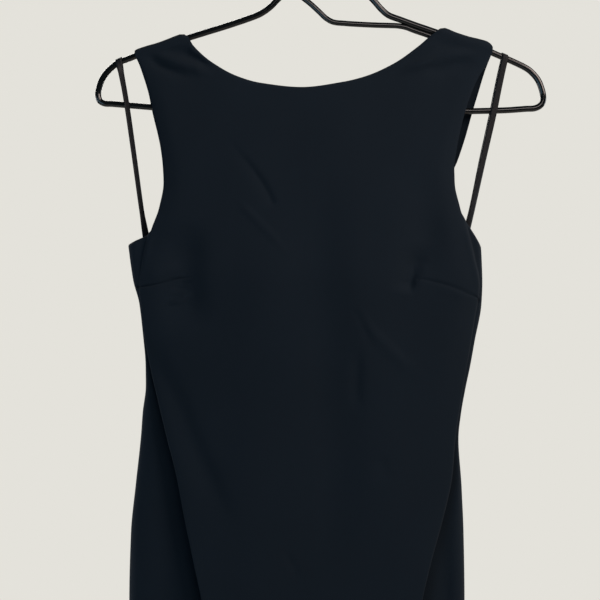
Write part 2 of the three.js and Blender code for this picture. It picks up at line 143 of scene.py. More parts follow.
# Matt emulsion paint: it has no gloss, so it only catches soft shadows. Further out the camera sees
# it turn into the wall, as a curved paper sweep does.
def floorPaint():
    material, shader = newMaterial("matt_floor_paint")
    shader.inputs["Base Color"].default_value = linearColour(studio["floor"])
    shader.inputs["Roughness"].default_value = 0.9
    near, far = studio["sweep"]
    place = addNode(material, "ShaderNodeTexCoord").outputs["Object"]
    level = addNode(material, "ShaderNodeVectorMath", {1: (1, 1, 0)}, {0: place}, operation="MULTIPLY")
    outward = addNode(material, "ShaderNodeVectorMath", None, {0: level.outputs[0]}, operation="LENGTH")
    turned = addNode(material, "ShaderNodeMapRange", {"From Min": near, "From Max": far},
                     {"Value": outward.outputs["Value"]}, interpolation_type="SMOOTHSTEP")
    seen = addNode(material, "ShaderNodeLightPath")
    share = addNode(material, "ShaderNodeMath", None,
                    {0: turned.outputs["Result"], 1: seen.outputs["Is Camera Ray"]}, operation="MULTIPLY")
    glow = addNode(material, "ShaderNodeEmission", {"Color": linearColour(studio["wall"])})
    sweep = addNode(material, "ShaderNodeMixShader", None,
                    {0: share.outputs[0], 1: shader.outputs[0], 2: glow.outputs[0]})
    surface = material.node_tree.nodes["Material Output"].inputs["Surface"]
    material.node_tree.links.new(sweep.outputs[0], surface)
    return material


floorMesh = bmesh.new()
bmesh.ops.create_circle(floorMesh, cap_ends=True, segments=96, radius=studio["floorRadius"])
bmesh.ops.translate(floorMesh, verts=floorMesh.verts,
                    vec=(0, 0, cadBox[0].z - studio["floorDrop"] * mm))
floorData = bpy.data.meshes.new("floor")
floorMesh.to_mesh(floorData)
floorMesh.free()
floorData.materials.append(floorPaint())
floor = putInScene(floorData, "floor")
print("stage: camera, lamps and floor")


# A smooth curve through rows of keys and values that never swings past a row. Values may have one
# column for each point of at.
def throughRows(keys, values, at):
    keys = np.asarray(keys, float)
    values = np.asarray(values, float)
    at = np.asarray(at, float)
    if keys[0] > keys[-1]:
        keys, values = keys[::-1], values[::-1]
    if values.ndim == 1:
        values = np.repeat(values[:, None], at.size, axis=1).reshape(len(keys), *at.shape)
    at = np.clip(at, keys[0], keys[-1])
    last = len(keys) - 1
    row = np.clip(np.searchsorted(keys, at, side="right") - 1, 0, last - 1)

    def pick(table, index):
        return np.take_along_axis(table, index[None], axis=0)[0]

    spans = np.diff(keys).reshape(-1, *([1] * at.ndim))
    slopes = np.diff(values, axis=0) / spans

    def tangent(index):
        before = pick(slopes, np.clip(index - 1, 0, last - 1))
        after = pick(slopes, np.clip(index, 0, last - 1))
        total = np.where(before + after == 0, 1, before + after)
        return np.where(before * after > 0, 2 * before * after / total, 0)

    span = keys[row + 1] - keys[row]
    t = (at - keys[row]) / span
    start = pick(values, row)
    rise = pick(values, row + 1) - start
    bend = (1 - t) * tangent(row) - t * tangent(row + 1)
    return start + rise * t + span * t * (1 - t) * (bend - (1 - 2 * t) * rise / span)


# The named column of a table whose first row holds the names.
def column(table, name):
    place = table[0].index(name)
    return [row[place] for row in table[1:]]


def along(table, key, name, at):
    return throughRows(column(table, key), column(table, name), at)


def smoothStep(t):
    t = np.clip(t, 0, 1)
    return t * t * (3 - 2 * t)


# Points on a centripetal curve through a route, with steps points for each span.
def smoothRoute(route, steps):
    points = [np.array(point, float) for point in route]
    points = [2 * points[0] - points[1], *points, 2 * points[-1] - points[-2]]
    made = []
    for a, b, c, d in zip(points, points[1:], points[2:], points[3:]):
        ta = 0
        tb = ta + np.linalg.norm(b - a) ** 0.5
        tc = tb + np.linalg.norm(c - b) ** 0.5
        td = tc + np.linalg.norm(d - c) ** 0.5
        for step in range(steps):
            t = tb + (tc - tb) * step / steps
            ab = a + (b - a) * (t - ta) / (tb - ta)
            bc = b + (c - b) * (t - tb) / (tc - tb)
            cd = c + (d - c) * (t - tc) / (td - tc)
            abc = ab + (bc - ab) * (t - ta) / (tc - ta)
            bcd = bc + (cd - bc) * (t - tb) / (td - tb)
            made.append(abc + (bcd - abc) * (t - tb) / (tc - tb))
    return np.array([*made, points[-2]])


# A sheet of cloth on rows and columns of points, in mm. Points that aren't kept are left out,
# outward is the way that its right side mostly faces along Y, and flat gives each point's UV.
def clothSheet(points, kept=None, outward=0, flat=None):
    rows, columns = points.shape[:2]
    sheet = bmesh.new()
    bmesh.ops.create_grid(sheet, x_segments=columns - 1, y_segments=rows - 1, size=1)
    spare, cell = [], {}
    for vert in sheet.verts:
        i = round((vert.co.x + 1) / 2 * (columns - 1))
        j = round((vert.co.y + 1) / 2 * (rows - 1))
        vert.co = Vector(points[j, i]) * mm
        cell[vert] = j, i
        if kept is not None and not kept[j, i]:
            spare.append(vert)
    if flat is not None:
        weave = sheet.loops.layers.uv.new("weave")
        for face in sheet.faces:
            for corner in face.loops:
                corner[weave].uv = flat[cell[corner.vert]]
    bmesh.ops.delete(sheet, geom=spare, context="VERTS")
    sheet.normal_update()
    if outward * sum(face.normal.y * face.calc_area() for face in sheet.faces) < 0:
        bmesh.ops.reverse_faces(sheet, faces=sheet.faces)
    return sheet


# One piece of the dress or hanger, from a bmesh or a curve, standing for its CAD nodes.
def finishPiece(made, name, material, slot, *nodes):
    if isinstance(made, bmesh.types.BMesh):
        data = bpy.data.meshes.new(name)
        made.to_mesh(data)
        made.free()
        data.polygons.foreach_set("use_smooth", [True] * len(data.polygons))
    else:
        data = made
    data.materials.append(material)
    piece = putInScene(data, name)
    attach(piece, "root")
    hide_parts(*nodes)
    return piece


# The points lie in the middle of the cloth or ribbon, which gets half its thickness each way.
def giveThickness(piece, thickness):
    wall = piece.modifiers.new("thickness", "SOLIDIFY")
    wall.thickness = thickness * mm
    wall.offset = 0
    wall.use_even_offset = True
    wall.use_quality_normals = True


ribbon = {
    "width": 6.5,
    "thickness": 0.9,
    "dark": "#04060a",
    "light": "#080d12",
    "strandRows": 60,
    "archRows": 12,
    "acrossRows": 4,
    "pathRows": 3,           # the cord's path has a point for so many rows
    # front and back are the y of the two strands, part is how far the back one hangs to the side,
    # and lean and turn are its slope across and its twist, in degrees
    "left": [
        ("z", "x", "front", "back", "part", "lean", "turn"),
        (-197.4, -203, -3.8, 3.8, 0, 23, 0),
        (-207, -200.6, -4.4, 4.4, -0.9, 11, 42),
        (-223, -197.2, -5.8, 5.8, -1.6, 9, 55),
        (-247, -193.3, -6, 6, -1.6, 8, 55),
        (-295, -186.8, -3.8, 3.8, -1, 8, 56),
        (-343, -180.4, -2.2, 3.8, -0.8, 8, 58),
        (-375, -175.8, 0.6, 4.4, 0, 8, 25),
        (-400, -172.5, 5.6, 6.9, 0, 8, 0),
    ],
    "right": [
        ("z", "x", "front", "back", "part", "lean", "turn"),
        (-193, 182.6, -3.8, 3.8, 0, -23, 0),
        (-207, 179.4, -3.9, 3.9, 0, -14, 0),
        (-223, 176, -4, 4, 0, -12, 2),
        (-247, 171.2, -4.1, 4.1, 0, -12, 6),
        (-295, 160.5, -3.6, 3.6, 0, -12, 22),
        (-343, 150.3, -2.8, 3.6, 0, -12, 38),
        (-370, 144, 0.4, 4.5, 0, -12, 22),
        (-400, 138, 5.6, 6.9, 0, -12, 0),
    ],
}


# Polyester satin ribbon, woven with fine cross ribs: a soft lengthwise gleam, duller edges.
def satinRibbon():
    material, shader = newMaterial("polyester_satin_ribbon")
    place = addNode(material, "ShaderNodeTexCoord").outputs["UV"]    # mm across and along
    ribs = addNode(material, "ShaderNodeTexWave", {"Scale": 0.5, "Distortion": 0.6, "Detail": 2.0},
                   {"Vector": place}, bands_direction="Y", wave_profile="SIN")    # ribs 0.6 mm apart
    fuzz = addNode(material, "ShaderNodeTexNoise", {"Scale": 3.0, "Detail": 3.0},
                   {"Vector": place})    # flecks of 0.3 mm
    tone = addNode(material, "ShaderNodeMix",
                   {"A": linearColour(ribbon["dark"]), "B": linearColour(ribbon["light"])},
                   {"Factor": fuzz.outputs["Fac"]}, data_type="RGBA")
    bump = addNode(material, "ShaderNodeBump", {"Strength": 0.5, "Distance": 0.1 * mm},
                   {"Height": ribs.outputs["Fac"]})
    links = material.node_tree.links
    links.new(tone.outputs["Result"], shader.inputs["Base Color"])
    links.new(bump.outputs["Normal"], shader.inputs["Normal"])
    shader.inputs["Roughness"].default_value = 0.55
    shader.inputs["Specular IOR Level"].default_value = 0.15
    shader.inputs["Sheen Weight"].default_value = 0.02
    shader.inputs["Sheen Roughness"].default_value = 0.4
    return material


# Centres of a ribbon's rows, up in front, over the wire and down behind, and half its width there.
def ribbonRows(table):
    top, foot = table[1], table[-1]
    share = np.linspace(1, 0, ribbon["strandRows"] + 1)[:-1]
    strandZ = top[0] + (foot[0] - top[0]) * share
    angle = np.linspace(0, math.pi, ribbon["archRows"] + 1)
    arch = np.stack([np.full(angle.shape, top[1]), -top[3] * np.cos(angle),
                     top[0] + top[3] * np.sin(angle)], axis=1)
    centres, halves = [], []
    for name, order in (("front", 1), ("arch", 0), ("back", -1)):
        if name == "arch":
            centres.append(arch)
            lean, turn = np.full(angle.shape, top[5]), np.zeros(angle.shape)
        else:
            z = strandZ[::order]
            aside = along(table, "z", "part", z) if name == "back" else 0
            x = along(table, "z", "x", z) + aside
            centres.append(np.stack([x, along(table, "z", name, z), z], axis=1))
            lean, turn = along(table, "z", "lean", z), along(table, "z", "turn", z)
        lean, turn = np.radians(lean), np.radians(turn)
        across = np.stack([np.cos(lean) * np.cos(turn), np.sin(turn), np.sin(lean) * np.cos(turn)], axis=1)
        halves.append(across * ribbon["width"] / 2)
    return np.concatenate(centres), np.concatenate(halves)


satin = satinRibbon()
for side in ("left", "right"):
    centres, halves = ribbonRows(ribbon[side])
    spread = np.linspace(-1, 1, ribbon["acrossRows"] + 1)
    points = centres[:, None] + halves[:, None] * spread[None, :, None]
    length = np.concatenate([[0], np.linalg.norm(np.diff(centres, axis=0), axis=1).cumsum()])
    weave = np.stack(np.broadcast_arrays(spread * ribbon["width"] / 2, length[:, None]), axis=-1)
    strip = clothSheet(points, flat=weave)
    piece = finishPiece(strip, f"ribbon_{side}", satin, "ribbon", f"ribbon_{side}")
    giveThickness(piece, ribbon["thickness"])
    print(f"ribbon_{side}: {length[-1]:.0f} mm")


# The form of the dress, in mm, which both panels share.
form = {
    "thickness": 1.3,
    "dark": "#0e161d",
    "light": "#101921",
    "hemZ": -1630,
    "hemDepth": 25,
    "hemRise": 0.5,          # how far the turned hem stands proud, over a step of this height
    "hemStep": 3,
    "lipRoll": 0.9,          # how far a free edge turns in
    "shoulderRadius": 4.3,   # middle of the cloth round the hanger's arm
    "shoulderRows": [90, 75, 60, 45, 30, 15],    # degrees round the arm, from the seam on top
    "seatLength": 32,        # height over which a strap closes in on the arm
    "seamGap": 0.3,
    "armFade": 12,           # creases and waves grow from nothing over this height below the arm
    "seamFade": 1.2,         # and over so many stations from a side seam,
    "edgeFade": 30,          # and waves also over this distance from a free edge
    "slant": 4.6,            # how far the neck ends of the seams lie out from the neck edge below them
    "slantReach": 14,        # and how far along the seam that fades
    "puff": [                # how far the shoulder seam stands up off the wire, along x
        ("x", "rise"),
        (-188.5, 0),
        (-183, 1.2),
        (-174, 1.1),
        (-165, 0.5),
        (-156, 0.7),
        (-146, 1.3),
        (-141, 1.4),
        (-138.8, 1),
        (-137.8, -0.2),
        (118, 0),
        (119, 1.4),
        (121, 2.5),
        (125.5, 2.7),
        (133, 2.1),
        (145, 2.4),
        (156, 3.6),
        (164, 4.2),
        (168, 3),
        (170.5, 0.2),
    ],
    "lastStation": 16,       # stations run from the left side seam, 0, to the right one
    "foldStation": 4,        # armhole edge and, below it, the edge of the side fold
    "valleyStation": 3.3,    # bottom of the valley beside that fold
    "stripRows": [           # from the side seam: station, share of the strip's width and of its bulge
        (0, 0, 0),
        (0.7, 0.07, 0.6),
        (2, 0.4, 1),
    ],
    "bulge": (0.9, 0.3),     # shares of the valley's distance out and of the fold's height over it
    "lipShare": 0.25,        # the most that the fold's lip takes of the strip
    "crownRise": 0.55,       # share of the way out to the middle that the row next to the fold has
    "lowestLevel": -367,     # left foot of the armhole edge, and how much higher the right one is
    "levelRise": 17,
    "underarms": {"left": -381, "right": -385},
    "underarmBend": 1.6,
    "arms": {                # x and z of the neck end of each shoulder seam, and the arm's slope there
        "left": (-133.4, -172.7, 0.34),
        "right": (113.8, -167.3, -0.353),
    },
    "topSearch": (8, 4, 360),    # topHeight looks so far below and above the neckline, in so many rows
    "sides": [
        ("z", "left", "right"),
        (-340, -197, 156),
        (-381, -193, 158.2),
        (-415, -187.7, 158.9),
        (-439, -181, 158),
        (-475, -176.9, 151.3),
        (-500, -175.3, 146.7),
        (-520, -175.4, 142.3),
        (-547, -178.6, 137.3),
        (-571, -180.4, 134.9),
        (-620, -185.7, 138.7),
        (-667, -190.4, 140.9),
        (-735, -192.1, 141.9),
        (-900, -187, 137),
        (-1060, -173, 127),
        (-1160, -168, 123),
        (-1270, -184, 138),
        (-1400, -226, 180),
        (-1520, -270, 228),
        (-1630, -302, 264),
    ],
}
middleStation = form["lastStation"] / 2
foldStation = form["foldStation"]


# Stations of half a panel's section at heights z, with their x and distance out.
def halfSection(panel, side, z):
    seam = along(form["sides"], "z", side, z)
    fold = along(panel["folds"], "z", side, z)
    opposite = along(panel["folds"], "z", "right" if side == "left" else "left", z)
    drop = along(panel["folds"], "z", side + "Drop", z)
    foldOut = along(panel["depths"], "z", "fold", z)
    middleOut = along(panel["depths"], "z", "middle", z)
    crown = along(panel["depths"], "z", "crown", z)
    inward = 1 if side == "left" else -1
    strip = np.abs(fold - seam)
    lip = np.minimum(along(panel["depths"], "z", "lip", z), strip * form["lipShare"])
    valley = foldOut - drop
    bulge = valley * form["bulge"][0] + drop * form["bulge"][1]
    rows = [(station, seam + inward * strip * share, bulge * rise)
            for station, share, rise in form["stripRows"]]
    rows += [
        (form["valleyStation"], fold - inward * lip, valley),
        (foldStation, fold, foldOut),
        (foldStation + 1, fold + inward * crown, foldOut + (middleOut - foldOut) * form["crownRise"]),
        (middleStation, (fold + opposite) / 2, middleOut),
    ]
    stations, xs, outs = zip(*rows)
    return stations, np.stack(xs), np.stack(outs)


# Height of the middle of the hanger's arm under a strap.
def armAxis(x):
    left, right = form["arms"]["left"], form["arms"]["right"]
    onLeft = x < (left[0] + right[0]) / 2
    return np.where(onLeft, left[1] + left[2] * (x - left[0]), right[1] + right[2] * (x - right[0]))


# x of the middle of the cloth, and its distance out from the hanger's plane.
def clothPoint(panel, station, z):
    station, z = [np.array(part, float) for part in np.broadcast_arrays(station, z)]
    x, out = np.zeros(z.shape), np.zeros(z.shape)
    for side, chosen in (("left", station <= middleStation), ("right", station > middleStation)):
        if chosen.any():
            keys, xs, outs = halfSection(panel, side, z[chosen])
            at = station[chosen] if side == "left" else form["lastStation"] - station[chosen]
            x[chosen] = throughRows(keys, xs, at)
            out[chosen] = throughRows(keys, outs, at)
    turns = (station - foldStation) / (middleStation - foldStation)
    inside = (station > foldStation) & (station < form["lastStation"] - foldStation)
    flute = along(panel["depths"], "z", "flute", z) * (1 - np.cos(2 * np.pi * turns)) / 2
    out = out - np.where(inside, flute, 0)
    below = (armAxis(x) - z) / form["seatLength"]
    out = form["shoulderRadius"] + (out - form["shoulderRadius"]) * smoothStep(below)
    return x, out


# Height at which a panel first reaches its neckline or, on a strap, the middle of the hanger's arm.
# It is looked for from below, on rows a fraction of a millimetre apart, since a station that starts
# under the neckline may swing out under the strap.
def topHeight(panel, station):
    neckX, neckZ = column(panel["neck"], "x"), column(panel["neck"], "z")
    low, high, count = form["topSearch"]
    z = np.linspace(min(neckZ) - low, max(neckZ) + high, count)[:, None]
    x = clothPoint(panel, station, z)[0]
    onNeck = (x > neckX[0]) & (x < neckX[-1])
    past = z - np.where(onNeck, throughRows(neckX, neckZ, x), armAxis(x))
    first = np.maximum((past >= 0).argmax(axis=0), 1)[None]
    before, after = [np.take_along_axis(past, row, axis=0)[0] for row in (first - 1, first)]
    return z[first[0] - 1, 0] - before * (z[1, 0] - z[0, 0]) / (after - before)


# Height of the row that parts the straps and chest from the bodice and skirt.
def levelHeight(station):
    across = (station - foldStation) / (form["lastStation"] - 2 * foldStation)
    level = form["lowestLevel"] + form["levelRise"] * np.clip(across, 0, 1)
    fromSeam = np.minimum(station, form["lastStation"] - station) / foldStation
    underarm = np.where(station < middleStation, form["underarms"]["left"], form["underarms"]["right"])
    bent = np.clip(fromSeam, 0, 1) ** form["underarmBend"]
    return np.where(fromSeam >= 1, level, underarm + (level - underarm) * bent)


# Station at which a panel's shoulder seam meets its neckline.
def neckStation(panel, side):
    x, z = panel["neck"][1 if side == "left" else -1]
    low, high = foldStation, middleStation
    for halving in range(24):
        middle = (low + high) / 2
        at = middle if side == "left" else form["lastStation"] - middle
        if abs(clothPoint(panel, [at], [z])[0][0]) > abs(x):
            low = middle
        else:
            high = middle
    return (low + high) / 2


# Lift of the cloth, in mm, over soft creases. Each follows a path of (x, z) and rises to a ridge or
# sinks to a trough. It dies away over two widths, the first of them on the left as the path runs, and
# over the shares of its length that its fades give.
def creaseLift(creases, x, z):
    lift = np.zeros(x.shape)
    for crease in creases:
        path = smoothRoute(crease["path"], steps=8)
        reach = 3 * max(crease["widths"])    # nothing is left of a crease past this
        near = ((x > path[:, 0].min() - reach) & (x < path[:, 0].max() + reach)
                & (z > path[:, 1].min() - reach) & (z < path[:, 1].max() + reach))
        here = np.stack([x[near], z[near]], axis=-1)
        spans = np.linalg.norm(np.diff(path, axis=0), axis=1)
        started = np.concatenate([[0], spans.cumsum()])
        best = np.full(len(here), np.inf)
        side = np.zeros(len(here))
        share = np.zeros(len(here))
        for a, b, span, start in zip(path, path[1:], spans, started):
            way = (b - a) / span
            t = np.clip((here - a) @ way, 0, span)
            off = here - (a + t[:, None] * way)
            away = np.hypot(off[:, 0], off[:, 1])
            closer = away < best
            best = np.where(closer, away, best)
            side = np.where(closer, way[0] * off[:, 1] - way[1] * off[:, 0], side)
            share = np.where(closer, (start + t) / started[-1], share)
        width = np.where(side > 0, crease["widths"][0], crease["widths"][1])
        fadeIn, fadeOut = crease.get("fades", (0.35, 0.35))
        ends = smoothStep(share / fadeIn) * smoothStep((1 - share) / fadeOut)
        shape = np.exp(-(best / width) ** crease.get("power", 2))
        lift[near] += crease["rise"] * shape * ends
    return lift


# Lift of the cloth over the slow waves that hanging cloth always has.
def waveLift(waves, x, z):
    lift = np.zeros(x.shape)
    for length, slant, phase, rise in waves:
        turn = math.radians(slant)
        ahead = x * math.cos(turn) + z * math.sin(turn)
        lift += rise * np.sin(2 * np.pi * ahead / length + phase)
    return lift


# Shares from 0 to 1, in stretches of (start, end, count).
def shares(*stretches):
    parts = [np.linspace(start, end, count, endpoint=False) for start, end, count in stretches]
    return np.concatenate([*parts, [stretches[-1][1]]])


# Stations across a panel, and the places in that list of its two folds and of its two neck ends.
def panelStations(panel):
    half = {}
    for side in ("left", "right"):
        neck = neckStation(panel, side)
        half[side] = np.concatenate([
            foldStation * panel["stripShares"][:-1],
            foldStation + (neck - foldStation) * panel["strapShares"][:-1],
            neck + (middleStation - neck) * panel["chestShares"][:-1],
        ])
    stations = np.concatenate([half["left"], [middleStation], (form["lastStation"] - half["right"])[::-1]])
    last = len(stations) - 1
    fold = len(panel["stripShares"]) - 1
    neck = fold + len(panel["strapShares"]) - 1
    return stations, (fold, last - fold), (neck, last - neck)


# Rows of points round the hanger's arm, from the shoulder seam on top of it down to the flat rows.
def overArm(panel, x, top):
    angles = np.radians(form["shoulderRows"])[:, None]
    radius = form["shoulderRadius"]
    ends = [form["arms"]["left"][0], form["arms"]["right"][0]]
    slant = [form["slant"] * (1 - smoothStep(abs(x - end) / form["slantReach"])) for end in ends]
    across = x + (slant[1] - slant[0]) * np.sin(angles)
    top = top - abs(x - across) * abs(form["arms"]["left"][2])
    rise = radius + along(form["puff"], "x", "rise", x + slant[1] - slant[0])
    y = np.maximum(radius * np.cos(angles), form["seamGap"] / 2)
    return np.stack(np.broadcast_arrays(across, panel["facing"] * y, top + rise * np.sin(angles)), axis=-1)


# All points of a panel, from its shoulder seams to its hem, and which of them it has.
def panelPoints(panel):
    stations, folds, necks = panelStations(panel)
    order = np.arange(len(stations))
    onPanel = (order >= folds[0]) & (order <= folds[1])
    onNeck = (order > necks[0]) & (order < necks[1])

    top = topHeight(panel, stations)
    level = levelHeight(stations)
    chest = top + (level - top) * panel["chestRows"][:-1, None]
    body = level + (form["hemZ"] - level) * panel["bodyRows"][:, None]
    z = np.concatenate([chest, body])
    x, out = clothPoint(panel, np.broadcast_to(stations, z.shape), z)
    chestRows = len(chest)

    # distance to the nearest free edge, for its turned lip
    edge = np.full(z.shape, np.inf)
    above, below = slice(0, chestRows), slice(chestRows, None)
    edge[above] = np.minimum(*[np.abs(x[above] - x[above, fold:fold + 1]) for fold in folds])
    drop = (top - z[above]) / np.sqrt(1 + np.gradient(top, x[0]) ** 2)
    edge[above] = np.where(onNeck, np.minimum(edge[above], drop), edge[above])
    edge[below] = np.where(onPanel, np.inf, level - z[below])
    turned = form["lipRoll"] * np.exp(-(edge / panel["lipWidth"]) ** 2)

    # creases fade out where the cloth is seated on the arm and at the side seams
    seated = smoothStep((armAxis(x) - z) / form["armFade"])
    fromSeam = smoothStep(np.minimum(stations, form["lastStation"] - stations) / form["seamFade"])
    waves = waveLift(panel["waves"], x, z) * smoothStep(edge / form["edgeFade"])
    lift = creaseLift(panel["creases"], x, z) + waves
    hem = form["hemRise"] * smoothStep((form["hemZ"] + form["hemDepth"] - z) / form["hemStep"])
    out = out + (lift + hem) * seated * fromSeam - turned * seated
    onSeam = np.zeros(z.shape, bool)
    onSeam[below, 0] = onSeam[below, -1] = True
    out = np.where(onSeam, form["seamGap"] / 2, out)
    flat = np.stack([x, panel["facing"] * out, z], axis=-1)

    shoulder = overArm(panel, x[0], top)
    armRows = len(shoulder)
    kept = np.ones((armRows + len(z), len(stations)), bool)
    kept[:armRows] = onPanel & ~onNeck
    kept[armRows:armRows + chestRows] = onPanel
    return np.concatenate([shoulder, flat]), kept


